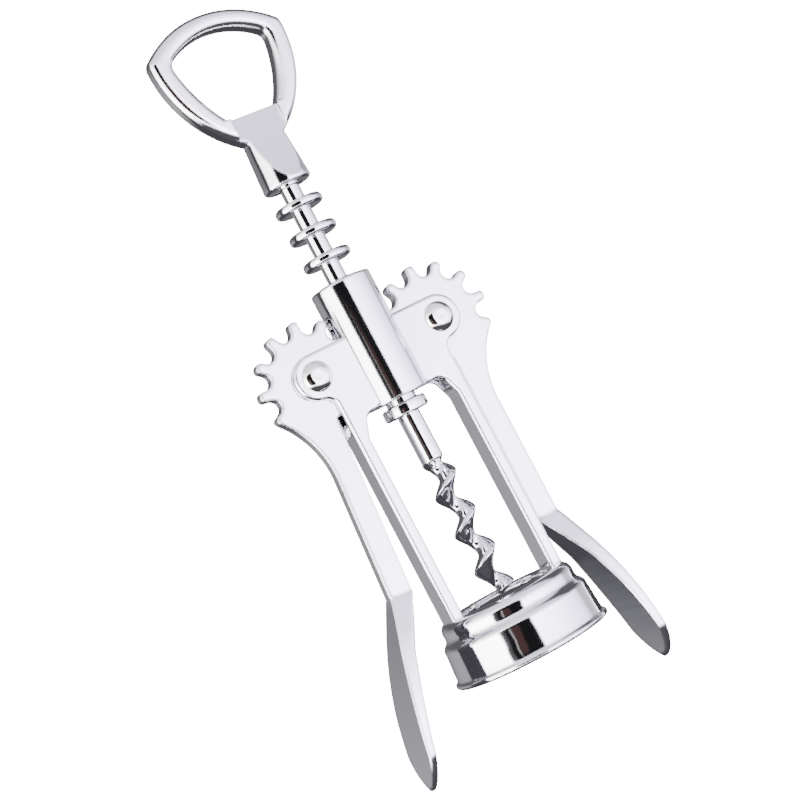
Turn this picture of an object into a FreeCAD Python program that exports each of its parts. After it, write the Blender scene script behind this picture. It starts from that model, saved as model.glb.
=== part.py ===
"""Lever corkscrew: a die-cast frame, two geared levers, a round rack on a worm and an opener handle.

Millimetres. +Z runs up the worm's axis to the handle, the levers lie in the XZ plane and the front
faces -Y. The origin is on the worm's axis at the ledge that stops the bottle's mouth.
"""

import FreeCAD, Part
import math
import os
import re
import sys

import Sketcher
from FreeCAD import Vector

SIZES = {
    # bell and crown, revolved round the worm's axis
    "socket_r": 15.2,
    "socket_depth": 4.0,
    "bell_height": 13.0,
    "bell_wall": 2.2,
    "crown_thickness": 2.7,
    "crown_margin": 1.5,
    "crown_round": 2.4,
    "hole_chamfer": 0.4,
    "cork_hole_r": 12.5,
    "band_step": 2.0,
    "band_height": 8.8,
    "band_flare": 0.5,
    "step_height": 1.8,
    "rim_bead": 0.8,
    "rim_height": 1.6,
    # legs, cheeks and barrel
    "leg_width": 3.2,
    "leg_gap": 0.3,
    "frame_depth": 8.0,
    "slot_gap": 0.2,
    "cheek_end_r": 5.7,
    "slot_drop": 3.2,
    "gusset_rise": 5.4,
    "gusset_run": 2.0,
    "barrel_bottom_z": 55.1,
    "barrel_length": 31.1,
    "barrel_wall": 1.25,
    "barrel_round": 0.6,
    "edge_round": 0.9,
    "corner_round": 2.5,
    "pivot_rise": 13.1,
    # rack
    "shaft_r": 2.5,
    "ring_r": 6.2,
    "ring_thickness": 2.4,
    "ring_round": 1.05,
    "ring_above_pitch": 2.65,
    "ring_pitch": 7.2,
    "ring_bore_gap": 0.3,
    "ring_below_pivot": 4.4,
    "rings_down": 1,
    "shoulder_r": 3.9,
    "tenon_r": 2.0,
    "tenon_length": 8.0,
    "washer_r": 5.65,
    "washer_thickness": 2.9,
    "washer_gap": 1.4,
    "washer_chamfer": 0.4,
    "running_gap": 0.06,
    # worm
    "shank_r": 2.85,
    "shank_length": 14.3,
    "shank_bevel": 1.0,
    "worm_r": 4.05,
    "core_r": 0.95,
    "flight_half": 4.0,
    "flight_edge": 0.2,
    "flight_runout": 1.3,
    "tip_slope": 0.45,
    "worm_pitch": 9.95,
    "worm_tip_z": 2.3,
    "socket_length": 8.0,
    # gears and levers
    "gear_teeth": 12,
    "sector_gaps": 9,
    "tooth_half": 1.3,
    "tooth_above_pitch": 0.5,
    "tooth_taper": 0.35,
    "tooth_root_gap": 0.4,
    "tooth_tip_round": 0.95,
    "mesh_angle": -3.34,
    "lever_play": 2.2,
    "lever_thickness": 4.0,
    "lever_round": 0.5,
    "rivet_r": 2.0,
    "rivet_head_r": 3.8,
    "rivet_head_height": 1.3,
    "rivet_flat_r": 0.7,
    "arm_width": 5.9,
    "arm_inner_x": -1.1,
    "arm_length": 54.6,
    "arm_flare": 2.2,
    "arm_flare_drop": 10.0,
    "paddle_length": 44.0,
    "paddle_lean": 9.4,
    "paddle_half": 7.75,
    "paddle_thickness": 2.3,
    # handle
    "neck_length": 12.8,
    "neck_bottom_r": 6.2,
    "neck_top_r": 5.4,
    "neck_round": 0.9,
    "handle_travel": 26.0,
    "stop_gap": 0.2,
    "loop_half": 19.0,
    "loop_height": 33.8,
    "loop_bar": 5.0,
    "loop_depth": 5.6,
    "loop_round": 2.1,
    "shoulder_drop": 7.2,
    "mouth_drop": 9.4,
    "mouth_waist": 8.2,
    "lip_height": 7.1,
    "lip_half": 0.9,
    "handle_turn": 8.0,
}

# Values that follow from the sizes above.
DERIVED = {
    "quarter_cut": "(1 - sqrt(0.5))",
    "pivot_z": "barrel_bottom_z + pivot_rise",
    "slot_floor_z": "barrel_bottom_z - slot_drop",
    "stage_r": "leg_outer_x + crown_margin",
    "band_r": "stage_r + band_step",
    "skirt_bore_r": "band_r - bell_wall",
    "band_top_z": "rim_height / 2 + band_height - bell_height",
    "barrel_bore_r": "ring_r + ring_bore_gap",
    "barrel_r": "barrel_bore_r + barrel_wall",
    "barrel_top_z": "barrel_bottom_z + barrel_length",
    "slot_half": "lever_thickness / 2 + slot_gap",
    "leg_outer_x": "pivot_x + arm_inner_x - leg_gap",
    "leg_inner_x": "leg_outer_x - leg_width",
    "pitch_r": "ring_pitch * gear_teeth / (2 * pi)",
    "tip_r": "pitch_r + tooth_above_pitch",
    "pivot_x": "pitch_r + ring_r - ring_above_pitch",
    "root_r": "pivot_x - ring_r - tooth_root_gap",
    "half_step": "180 / gear_teeth",
    "flank_start": "tooth_half / sin(half_step)",
    "root_centre": "(root_r - tooth_half) / (1 - sin(half_step))",
    "root_round": "root_centre - root_r",
    "low_ring_z": "pivot_z - ring_below_pivot - rings_down * ring_pitch",
    "ring_count": "floor((neck_bottom_z - ring_thickness - low_ring_z) / ring_pitch) + 1",
    "washer_top_z": "barrel_bottom_z - washer_gap",
    "washer_bottom_z": "washer_top_z - washer_thickness",
    "neck_bottom_z": "barrel_top_z + handle_travel + stop_gap",
    "neck_top_z": "neck_bottom_z + neck_length",
    "lip_z": "neck_top_z + lip_height",
    "loop_top_z": "neck_top_z + loop_height",
    "shank_top": "washer_bottom_z - running_gap",
    "shank_low": "shank_top - shank_length + flight_runout",
}

WORDS = re.compile(r"[a-z_]{2,}")
doc = FreeCAD.newDocument("lever_corkscrew")
sheet = doc.addObject("Spreadsheet::Sheet", "sizes")
probe = doc.addObject("App::FeaturePython", "probe")
probe.addProperty("App::PropertyFloat", "value")


def fill_sheet():
    """Writes each driving dimension as a plain number with its alias."""
    for row, (alias, value) in enumerate(SIZES.items(), start=1):
        sheet.set("A%d" % row, alias)
        sheet.set("B%d" % row, str(value))
        sheet.setAlias("B%d" % row, alias)
    doc.recompute()


def bound(text):
    """Turns an expression in plain size names into one that reads the sheet."""

    def swap(match):
        word = match.group()
        if word in DERIVED:
            return "(" + bound(DERIVED[word]) + ")"
        return "sizes." + word if word in SIZES else word

    return WORDS.sub(swap, str(text))


def number(text):
    """The value that an expression has now."""
    probe.setExpression("value", bound(text))
    probe.recompute()
    return probe.value


def new_body(node):
    """An empty body whose label is the node's name."""
    body = doc.addObject("PartDesign::Body", node)
    body.Label = node
    return body


def origin_item(body, role):
    """One of the body's own origin planes or axes."""
    return next(item for item in body.Origin.OriginFeatures if item.Role == role)


def new_sketch(body, role, name):
    """A sketch on one of the body's origin planes."""
    sketch = body.newObject("Sketcher::SketchObject", name)
    sketch.AttachmentSupport = [(origin_item(body, role), "")]
    sketch.MapMode = "FlatFace"
    return sketch


def pin(sketch, geometry, point, place):
    """Holds a sketch point at two coordinates that follow the sheet."""
    for kind, text in zip(("DistanceX", "DistanceY"), place):
        rule = Sketcher.Constraint(kind, -1, 1, geometry, point, number(text))
        index = sketch.addConstraint(rule)
        sketch.setExpression("Constraints[%d]" % index, bound(text))


def add_arc(sketch, start, via, end):
    """Adds an arc and says which of its ends lies at the start."""
    spots = [Vector(number(x), number(y), 0) for x, y in (start, via, end)]
    turn = (spots[1] - spots[0]).cross(spots[2] - spots[1]).z
    ordered = spots if turn > 0 else spots[::-1]
    index = sketch.addGeometry(Part.Arc(*ordered), False)
    ends = (1, 2) if turn > 0 else (2, 1)
    guide = sketch.addGeometry(Part.Point(spots[1]), True)
    return index, ends, guide


def outline(sketch, corners, vias=None):
    """A closed outline through corners; vias maps a corner's index to a point on an arc after it."""
    vias = vias or {}
    pieces = []
    for index, start in enumerate(corners):
        end = corners[(index + 1) % len(corners)]
        if index in vias:
            piece, ends, guide = add_arc(sketch, start, vias[index], end)
            pin(sketch, guide, 1, vias[index])
            sketch.addConstraint(Sketcher.Constraint("PointOnObject", guide, 1, piece))
        else:
            spots = [Vector(number(x), number(y), 0) for x, y in (start, end)]
            piece, ends = sketch.addGeometry(Part.LineSegment(*spots), False), (1, 2)
        pieces.append((piece, ends))
    for index, (piece, ends) in enumerate(pieces):
        before, before_ends = pieces[index - 1]
        sketch.addConstraint(Sketcher.Constraint("Coincident", before, before_ends[1], piece, ends[0]))
        pin(sketch, piece, ends[0], corners[index])


def circle(sketch, centre, radius):
    """A circle whose centre and radius follow the sheet."""
    middle = Vector(number(centre[0]), number(centre[1]), 0)
    index = sketch.addGeometry(Part.Circle(middle, Vector(0, 0, 1), number(radius)), False)
    pin(sketch, index, 3, centre)
    rule = sketch.addConstraint(Sketcher.Constraint("Radius", index, number(radius)))
    sketch.setExpression("Constraints[%d]" % rule, bound(radius))


def mirrored(points):
    """The same points on the other side of the vertical axis, in the opposite order."""
    return [("-(%s)" % x, y) for x, y in reversed(points)]


def across(body, kind, sketch, name, depth):
    """A pad or pocket that reaches half its depth to each side of its sketch."""
    feature = body.newObject("PartDesign::" + kind, name)
    feature.Profile = sketch
    feature.SideType = "Symmetric"
    feature.setExpression("Length", bound(depth))
    sketch.Visibility = False
    doc.recompute()
    return feature


def turned(body, kind, sketch, name):
    """A full revolution or groove about the sketch's vertical axis."""
    feature = body.newObject("PartDesign::" + kind, name)
    feature.Profile = sketch
    feature.ReferenceAxis = (sketch, ["V_Axis"])
    feature.Angle = 360
    doc.recompute()
    return feature


def rounded(body, name, radius, chosen):
    """Fillets the edges of the body's tip that the test picks."""
    base = body.Tip
    edges = [
        "Edge%d" % number_of
        for number_of, edge in enumerate(base.Shape.Edges, start=1)
        if chosen(edge)
    ]
    fillet = body.newObject("PartDesign::Fillet", name)
    fillet.Base = (base, edges)
    fillet.setExpression("Radius", bound(radius))
    doc.recompute()
    return fillet


def in_faces(half_depth):
    """A test for edges that lie in either flat face of a plate centred on the XZ plane."""
    depth = number(half_depth)

    def test(edge):
        spots = [edge.valueAt(edge.FirstParameter), edge.valueAt(edge.LastParameter)]
        middle = edge.valueAt((edge.FirstParameter + edge.LastParameter) / 2)
        return all(abs(abs(spot.y) - depth) < 1e-4 for spot in spots + [middle])

    return test


def inner_corner(edge):
    """A test for the frame's corners that run front to back between its crown and its cheeks."""
    spots = [edge.valueAt(edge.FirstParameter), edge.valueAt(edge.LastParameter)]
    high = spots[0].z > number("crown_thickness") and spots[0].z < number("pivot_z")
    return high and abs(spots[0].y - spots[1].y) > 1


def frame_casting():
    """Bell, crown, two legs, two pairs of cheeks and the slotted barrel, all one casting."""
    body = new_body("frame_casting")
    sketch = new_sketch(body, "XZ_Plane", "frame_side")
    half = [
        ("pivot_x", "pivot_z + cheek_end_r"),
        ("leg_outer_x", "pivot_z - sqrt(cheek_end_r ^ 2 - (pivot_x - leg_outer_x) ^ 2)"),
        ("leg_outer_x", "crown_thickness / 2"),
        ("leg_inner_x", "crown_thickness / 2"),
        ("leg_inner_x", "barrel_bottom_z - gusset_rise"),
        ("leg_inner_x - gusset_run", "barrel_bottom_z"),
    ]
    end = ("pivot_x + cheek_end_r", "pivot_z")
    outline(sketch, half + mirrored(half), {0: end, 10: ("-(%s)" % end[0], end[1])})
    across(body, "Pad", sketch, "cheeks_and_legs", "frame_depth")
    rounded(body, "frame_corners", "corner_round", inner_corner)
    rounded(body, "frame_edges", "edge_round", in_faces("frame_depth / 2"))

    bell = new_sketch(body, "XZ_Plane", "bell_section")
    outline(
        bell,
        [
            ("cork_hole_r", "0"),
            ("socket_r", "0"),
            ("socket_r", "-socket_depth"),
            ("skirt_bore_r", "-socket_depth - bell_wall"),
            ("skirt_bore_r", "-bell_height"),
            ("band_r", "-bell_height"),
            ("band_r", "rim_height - bell_height"),
            ("band_r - band_flare", "band_top_z - step_height / 2"),
            ("(band_r - band_flare + stage_r) / 2", "band_top_z + step_height / 2"),
            ("stage_r", "band_top_z + step_height * 3 / 2"),
            ("stage_r", "crown_thickness - crown_round"),
            ("stage_r - crown_round", "crown_thickness"),
            ("cork_hole_r + hole_chamfer", "crown_thickness"),
            ("cork_hole_r", "crown_thickness - hole_chamfer"),
        ],
        {
            5: ("band_r + rim_bead", "rim_height / 2 - bell_height"),
            7: ("band_r - band_flare - 0.25", "band_top_z + step_height * 0.2"),
            8: ("stage_r + 0.25", "band_top_z + step_height * 0.8"),
            10: ("stage_r - crown_round * quarter_cut", "crown_thickness - crown_round * quarter_cut"),
        },
    )
    turned(body, "Revolution", bell, "bell")

    barrel = new_sketch(body, "XZ_Plane", "barrel_section")
    outline(
        barrel,
        [
            ("barrel_bore_r", "barrel_bottom_z"),
            ("barrel_r", "barrel_bottom_z"),
            ("barrel_r", "barrel_top_z - barrel_round"),
            ("barrel_r - barrel_round", "barrel_top_z"),
            ("barrel_bore_r", "barrel_top_z"),
        ],
        {2: ("barrel_r - barrel_round * quarter_cut", "barrel_top_z - barrel_round * quarter_cut")},
    )
    turned(body, "Revolution", barrel, "barrel")

    bore = new_sketch(body, "XY_Plane", "rack_bore_circle")
    circle(bore, ("0", "0"), "barrel_bore_r")
    across(body, "Pocket", bore, "rack_bore", "barrel_top_z * 2 + 10")

    reach = "sqrt((tip_r + 0.5) ^ 2 - (pivot_x - barrel_r) ^ 2)"
    slot = new_sketch(body, "XZ_Plane", "gear_slots_outline")
    side = [
        ("barrel_bore_r - 1.5", "pivot_z - " + reach),
        ("barrel_r + 0.3", "pivot_z - " + reach),
        ("barrel_r + 0.3", "slot_floor_z"),
        ("pivot_x + tip_r", "slot_floor_z"),
        ("pivot_x + tip_r", "pivot_z + " + reach),
        ("barrel_bore_r - 1.5", "pivot_z + " + reach),
    ]
    outline(slot, side)
    outline(slot, mirrored(side))
    across(body, "Pocket", slot, "gear_slots", "slot_half * 2")

    holes = new_sketch(body, "XZ_Plane", "rivet_hole_circles")
    for sign in ("", "-"):
        circle(holes, (sign + "pivot_x", "pivot_z"), "rivet_r")
    across(body, "Pocket", holes, "rivet_holes", "frame_depth * 2")
    return body


def rivet(node, side):
    """A pivot pin with a domed head formed on each end."""
    body = new_body(node)
    sketch = new_sketch(body, "XY_Plane", node + "_section")
    half = [
        ("rivet_r", "frame_depth / 2"),
        ("rivet_head_r", "frame_depth / 2"),
        ("rivet_flat_r", "frame_depth / 2 + rivet_head_height"),
        ("0", "frame_depth / 2 + rivet_head_height"),
    ]
    below = [(x, "-(%s)" % y) for x, y in reversed(half)]
    dome = ("rivet_head_r * 0.74", "frame_depth / 2 + rivet_head_height * 0.7")
    outline(sketch, half + below, {1: dome, 5: (dome[0], "-(%s)" % dome[1])})
    turned(body, "Revolution", sketch, node + "_turned")
    body.setExpression("Placement.Base.x", bound("pivot_x") + " * %d" % side)
    body.setExpression("Placement.Base.z", bound("pivot_z"))
    return body


def stop_washer():
    """The loose square-edged ring under the barrel, trapped on the spindle's tail."""
    body = new_body("stop_washer")
    sketch = new_sketch(body, "XZ_Plane", "washer_section")
    outline(
        sketch,
        [
            ("tenon_r + running_gap", "washer_bottom_z"),
            ("washer_r - washer_chamfer", "washer_bottom_z"),
            ("washer_r", "washer_bottom_z + washer_chamfer"),
            ("washer_r", "washer_top_z - washer_chamfer"),
            ("washer_r - washer_chamfer", "washer_top_z"),
            ("tenon_r + running_gap", "washer_top_z"),
        ],
    )
    turned(body, "Revolution", sketch, "washer_turned")
    return body


def rack_spindle():
    """The round rack: a shaft with ring teeth, a tenon in the handle and a tail in the worm."""
    body = new_body("rack_spindle")
    sketch = new_sketch(body, "XZ_Plane", "shaft_section")
    outline(
        sketch,
        [
            ("0", "washer_bottom_z - running_gap - socket_length"),
            ("tenon_r", "washer_bottom_z - running_gap - socket_length"),
            ("tenon_r", "washer_top_z + running_gap"),
            ("shoulder_r", "washer_top_z + running_gap"),
            ("shoulder_r", "low_ring_z"),
            ("shaft_r", "low_ring_z"),
            ("shaft_r", "neck_bottom_z"),
            ("tenon_r", "neck_bottom_z"),
            ("tenon_r", "neck_bottom_z + tenon_length"),
            ("0", "neck_bottom_z + tenon_length"),
        ],
    )
    turned(body, "Revolution", sketch, "shaft")

    ring = new_sketch(body, "XZ_Plane", "ring_section")
    low = "low_ring_z - ring_thickness / 2"
    high = "low_ring_z + ring_thickness / 2"
    cut = "ring_round * quarter_cut"
    outline(
        ring,
        [
            ("shaft_r - 1", low),
            ("ring_r - ring_round", low),
            ("ring_r", low + " + ring_round"),
            ("ring_r", high + " - ring_round"),
            ("ring_r - ring_round", high),
            ("shaft_r - 1", high),
        ],
        {1: ("ring_r - " + cut, low + " + " + cut), 3: ("ring_r - " + cut, high + " - " + cut)},
    )
    tooth = turned(body, "Revolution", ring, "lowest_ring")
    rings = body.newObject("PartDesign::LinearPattern", "ring_teeth")
    rings.Originals = [tooth]
    rings.Direction = (ring, ["V_Axis"])
    rings.setExpression("Occurrences", bound("ring_count"))
    rings.setExpression("Length", bound("ring_pitch * (ring_count - 1)"))
    body.Tip = rings
    doc.recompute()
    return body


def worm():
    """The steel screw: a bored shank above a slim core with a right-hand sharp-edged flight."""
    body = new_body("worm")
    shank = new_sketch(body, "XZ_Plane", "shank_section")
    outline(
        shank,
        [
            ("0", "worm_tip_z - flight_half"),
            ("core_r", "worm_tip_z - flight_half"),
            ("core_r", "shank_low - shank_bevel"),
            ("shank_r", "shank_low + shank_bevel"),
            ("shank_r", "shank_top"),
            ("tenon_r", "shank_top"),
            ("tenon_r", "shank_top - socket_length"),
            ("0", "shank_top - socket_length"),
        ],
    )
    turned(body, "Revolution", shank, "core_and_shank")

    flight = new_sketch(body, "YZ_Plane", "flight_section")
    upper = [
        ("core_r * 0.4", "flight_half"),
        ("core_r * 1.1", "flight_half"),
        ("worm_r * 0.53", "flight_half * 0.6"),
        ("worm_r * 0.73", "flight_half * 0.36"),
        ("worm_r * 0.89", "flight_half * 0.19"),
        ("worm_r", "flight_edge"),
    ]
    above = [("-(%s)" % r, "worm_tip_z + " + z) for r, z in upper]
    below = [("-(%s)" % r, "worm_tip_z - " + z) for r, z in reversed(upper)]
    outline(flight, above + below)
    helix = body.newObject("PartDesign::AdditiveHelix", "flight")
    helix.Profile = flight
    helix.ReferenceAxis = (flight, ["V_Axis"])
    helix.Mode = 0
    helix.setExpression("Pitch", bound("worm_pitch"))
    helix.setExpression("Height", bound("shank_low - flight_half - worm_tip_z"))
    doc.recompute()

    point = new_sketch(body, "XZ_Plane", "point_section")
    outline(
        point,
        [
            ("0", "worm_tip_z"),
            ("worm_r + 1", "worm_tip_z + (worm_r + 1) * tip_slope"),
            ("worm_r + 1", "worm_tip_z - flight_half * 2"),
            ("0", "worm_tip_z - flight_half * 2"),
        ],
    )
    turned(body, "Groove", point, "cutting_point")
    return body


def on_gear(along, aside, angle):
    """A point that lies along a gear radius at an angle above the rack side, and aside from it."""
    return (
        "(%s) * sin(%s) - (%s) * cos(%s)" % (aside, angle, along, angle),
        "(%s) * sin(%s) + (%s) * cos(%s)" % (along, angle, aside, angle),
    )


def lever(node, side):
    """Gear sector, arm and leaf-shaped paddle; both levers are the same casting, one turned round."""
    body = new_body(node)
    phase = "mesh_angle + lever_play"
    start = "(%s - half_step * 3)" % phase
    stop = "(%s + half_step * (sector_gaps * 2 - 1))" % start
    arm_outer = "arm_inner_x + arm_width"
    plate = new_sketch(body, "XZ_Plane", node + "_plate")
    outline(
        plate,
        [
            ("arm_inner_x", "-sqrt(root_r ^ 2 - arm_inner_x ^ 2)"),
            on_gear("root_r", "0", start),
            on_gear("tip_r", "0", start),
            on_gear("tip_r", "0", stop),
            (arm_outer, "-tip_r - arm_flare_drop"),
            (arm_outer, "-arm_length"),
            ("arm_inner_x", "-arm_length"),
        ],
        {
            0: on_gear("root_r", "0", start + " * 1.5"),
            2: on_gear("tip_r", "0", "90"),
            3: (arm_outer + " + arm_flare", "-tip_r"),
        },
    )
    across(body, "Pad", plate, node + "_blank", "lever_thickness")

    gap = new_sketch(body, "XZ_Plane", node + "_tooth_gap")
    outer = "(tip_r + 2)"
    flare = "((%s * sin(half_step) - tooth_half) / cos(half_step) + tooth_taper)" % outer
    foot = "(root_centre - root_round * sin(half_step))"
    width = "(root_round * cos(half_step))"
    outline(
        gap,
        [
            on_gear(outer, flare, start),
            on_gear(foot, width, start),
            on_gear(foot, "-" + width, start),
            on_gear(outer, "-" + flare, start),
        ],
        {1: on_gear("root_r", "0", start)},
    )
    cut = across(body, "Pocket", gap, node + "_first_gap", "lever_thickness * 2")
    gaps = body.newObject("PartDesign::PolarPattern", node + "_tooth_gaps")
    gaps.Originals = [cut]
    gaps.Axis = (gap, ["N_Axis"])
    gaps.Reversed = True
    gaps.Mode = 0
    gaps.setExpression("Angle", bound("half_step * 2 * (sector_gaps - 1)"))
    gaps.setExpression("Occurrences", bound("sector_gaps"))
    body.Tip = gaps
    doc.recompute()

    tip = number("tip_r")

    def tooth_corner(edge):
        spots = [edge.valueAt(edge.FirstParameter), edge.valueAt(edge.LastParameter)]
        level = abs(spots[0].x - spots[1].x) < 1e-5 and abs(spots[0].z - spots[1].z) < 1e-5
        return level and all(abs(math.hypot(spot.x, spot.z) - tip) < 1e-3 for spot in spots)

    rounded(body, node + "_tooth_tips", "tooth_tip_round", tooth_corner)
    rounded(body, node + "_edges", "lever_round", in_faces("lever_thickness / 2"))

    hole = new_sketch(body, "XZ_Plane", node + "_bore_circle")
    circle(hole, ("0", "0"), "rivet_r + running_gap")
    across(body, "Pocket", hole, node + "_bore", "lever_thickness * 2")
    paddle(body, node, arm_outer)
    body.setExpression("Placement.Base.x", bound("pivot_x") + " * %d" % side)
    body.setExpression("Placement.Base.z", bound("pivot_z"))
    return body


def paddle(body, node, arm_outer):
    """The thumb leaf: thin across, broad front to back, bent out from the arm."""
    leaf = new_sketch(body, "XZ_Plane", node + "_paddle_side")
    outline(
        leaf,
        [
            ("arm_inner_x", "-arm_length"),
            (arm_outer, "-arm_length"),
            (arm_outer + " + paddle_lean * 0.37", "-arm_length - paddle_length * 0.24"),
            (arm_outer + " + paddle_lean * 0.94", "-arm_length - paddle_length"),
            (arm_outer + " + paddle_lean * 0.94 - paddle_thickness / 2", "-arm_length - paddle_length"),
            ("arm_inner_x + paddle_lean * 0.67", "-arm_length - paddle_length * 0.28"),
        ],
        {
            2: (arm_outer + " + paddle_lean * 0.78", "-arm_length - paddle_length * 0.61"),
            4: (
                arm_outer + " + paddle_lean * 0.78 - paddle_thickness",
                "-arm_length - paddle_length * 0.63",
            ),
        },
    )
    across(body, "Pad", leaf, node + "_paddle_blank", "paddle_half * 2")

    trim = new_sketch(body, "YZ_Plane", node + "_paddle_front")
    edge = [
        ("lever_thickness / 2", "-arm_length + 0.01"),
        ("paddle_half", "-arm_length - paddle_length * 0.62"),
        ("0.01", "-arm_length - paddle_length"),
        ("0.01", "-arm_length - paddle_length - 5"),
        ("paddle_half + 5", "-arm_length - paddle_length - 5"),
        ("paddle_half + 5", "-arm_length + 0.01"),
    ]
    curves = {
        0: ("paddle_half * 0.76", "-arm_length - paddle_length * 0.3"),
        1: ("paddle_half * 0.74", "-arm_length - paddle_length * 0.9"),
    }
    outline(trim, edge, curves)
    outline(
        trim,
        mirrored(edge),
        {4: ("-(%s)" % curves[0][0], curves[0][1]), 3: ("-(%s)" % curves[1][0], curves[1][1])},
    )
    across(body, "Pocket", trim, node + "_paddle_trim", "(arm_width + paddle_lean) * 6")


def opener_handle():
    """Rounded-triangle cap-lifter loop on a round neck with a hollow-cut lip, front and back."""
    body = new_body("opener_handle")
    loop = new_sketch(body, "XZ_Plane", "loop_outline")
    side = [
        ("neck_top_r", "neck_top_z"),
        ("loop_half", "loop_top_z - shoulder_drop"),
    ]
    outline(
        loop,
        side + mirrored(side),
        {
            0: ("loop_half * 0.84", "neck_top_z + loop_height * 0.345"),
            1: ("0", "loop_top_z"),
            2: ("-loop_half * 0.84", "neck_top_z + loop_height * 0.345"),
        },
    )
    across(body, "Pad", loop, "loop_blank", "loop_depth")

    mouth = new_sketch(body, "XZ_Plane", "mouth_outline")
    inner = [
        ("loop_half * 0.36", "lip_z"),
        ("loop_half - loop_bar - 0.3", "loop_top_z - mouth_drop"),
    ]
    outline(
        mouth,
        inner + mirrored(inner),
        {
            0: ("loop_half * 0.84 - loop_bar + 0.5", "lip_z + mouth_waist"),
            1: ("0", "loop_top_z - loop_bar + 0.2"),
            2: ("-(loop_half * 0.84 - loop_bar + 0.5)", "lip_z + mouth_waist"),
        },
    )
    across(body, "Pocket", mouth, "mouth", "loop_depth * 2")

    lip = number("lip_z")
    top = number("loop_top_z - mouth_drop - loop_bar")

    def corner(edge):
        spots = [edge.valueAt(edge.FirstParameter), edge.valueAt(edge.LastParameter)]
        return abs(spots[0].y - spots[1].y) > 1 and spots[0].z > top

    rounded(body, "loop_corners", "loop_bar * 0.5", corner)

    def rim(edge):
        middle = edge.valueAt((edge.FirstParameter + edge.LastParameter) / 2)
        return in_faces("loop_depth / 2")(edge) and middle.z > lip + 0.1

    rounded(body, "loop_edges", "loop_round", rim)

    neck = new_sketch(body, "XZ_Plane", "neck_section")
    outline(
        neck,
        [
            ("0", "neck_bottom_z"),
            ("neck_bottom_r - neck_round", "neck_bottom_z"),
            ("neck_bottom_r", "neck_bottom_z + neck_round"),
            ("neck_top_r", "neck_top_z"),
            ("0", "neck_top_z + neck_top_r"),
        ],
        {
            1: (
                "neck_bottom_r - neck_round * quarter_cut",
                "neck_bottom_z + neck_round * quarter_cut",
            ),
            3: ("neck_top_r * sqrt(0.5)", "neck_top_z + neck_top_r * sqrt(0.5)"),
        },
    )
    turned(body, "Revolution", neck, "neck")

    facet = new_sketch(body, "YZ_Plane", "lip_facets")
    front = [
        ("neck_bottom_r + 0.2", "neck_bottom_z + 0.6"),
        ("lip_half", "lip_z + 0.1"),
        ("neck_bottom_r + 4", "lip_z + 0.1"),
        ("neck_bottom_r + 4", "neck_bottom_z + 0.6"),
    ]
    bend = ("lip_half + 2.1", "neck_top_z - neck_length * 0.2")
    outline(facet, front, {0: bend})
    outline(facet, mirrored(front), {2: ("-(%s)" % bend[0], bend[1])})
    across(body, "Pocket", facet, "lip_cuts", "loop_half * 0.72")

    socket = new_sketch(body, "XZ_Plane", "tenon_section")
    outline(
        socket,
        [
            ("0", "neck_bottom_z"),
            ("tenon_r", "neck_bottom_z"),
            ("tenon_r", "neck_bottom_z + tenon_length"),
            ("0", "neck_bottom_z + tenon_length"),
        ],
    )
    turned(body, "Groove", socket, "tenon_socket")
    body.Placement = FreeCAD.Placement(Vector(), FreeCAD.Rotation(Vector(0, 0, 1), 1))
    body.setExpression("Placement.Rotation.Angle", bound("handle_turn"))
    return body


def place_left_lever(body):
    """Turns the right-hand casting half round and lets it hang open by its tooth play."""
    half_round = FreeCAD.Rotation(Vector(0, 0, 1), 180)
    opened = FreeCAD.Rotation(Vector(0, 1, 0), 2 * number("lever_play"))
    spot = Vector(-number("pivot_x"), 0, number("pivot_z"))
    body.Placement = FreeCAD.Placement(spot, opened.multiply(half_round))


def check(bodies):
    """Stops the build when any object failed or any sub-part is not one valid solid."""
    for item in doc.Objects:
        if {"Invalid", "Error"} & set(item.State):
            sys.exit("failed object: " + item.Name + " " + " ".join(item.State))
    for body in bodies:
        if body.Shape.isNull() or not body.Shape.isValid() or len(body.Shape.Solids) != 1:
            sys.exit("bad sub-part: " + body.Label)


def main():
    fill_sheet()
    bodies = [
        frame_casting(),
        opener_handle(),
        rack_spindle(),
        stop_washer(),
        worm(),
        lever("left_lever", -1),
        lever("right_lever", 1),
        rivet("left_rivet", -1),
        rivet("right_rivet", 1),
    ]
    place_left_lever(bodies[5])
    doc.removeObject(probe.Name)
    doc.recompute()
    check(bodies)
    os.makedirs("parts", exist_ok=True)
    for body in bodies:
        body.Shape.exportStep("parts/%s.step" % body.Label)
        box = body.Shape.BoundBox
        print("%-14s %9.1f mm3  z %.1f to %.1f" % (body.Label, body.Shape.Volume, box.ZMin, box.ZMax))


main()
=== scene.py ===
"""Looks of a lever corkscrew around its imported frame, laid out as an add-on.

Metres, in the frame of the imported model: +Z up the worm's axis, the front faces -Y.
"""

import math

import bmesh
import bpy
from mathutils import Matrix, Vector


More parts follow.
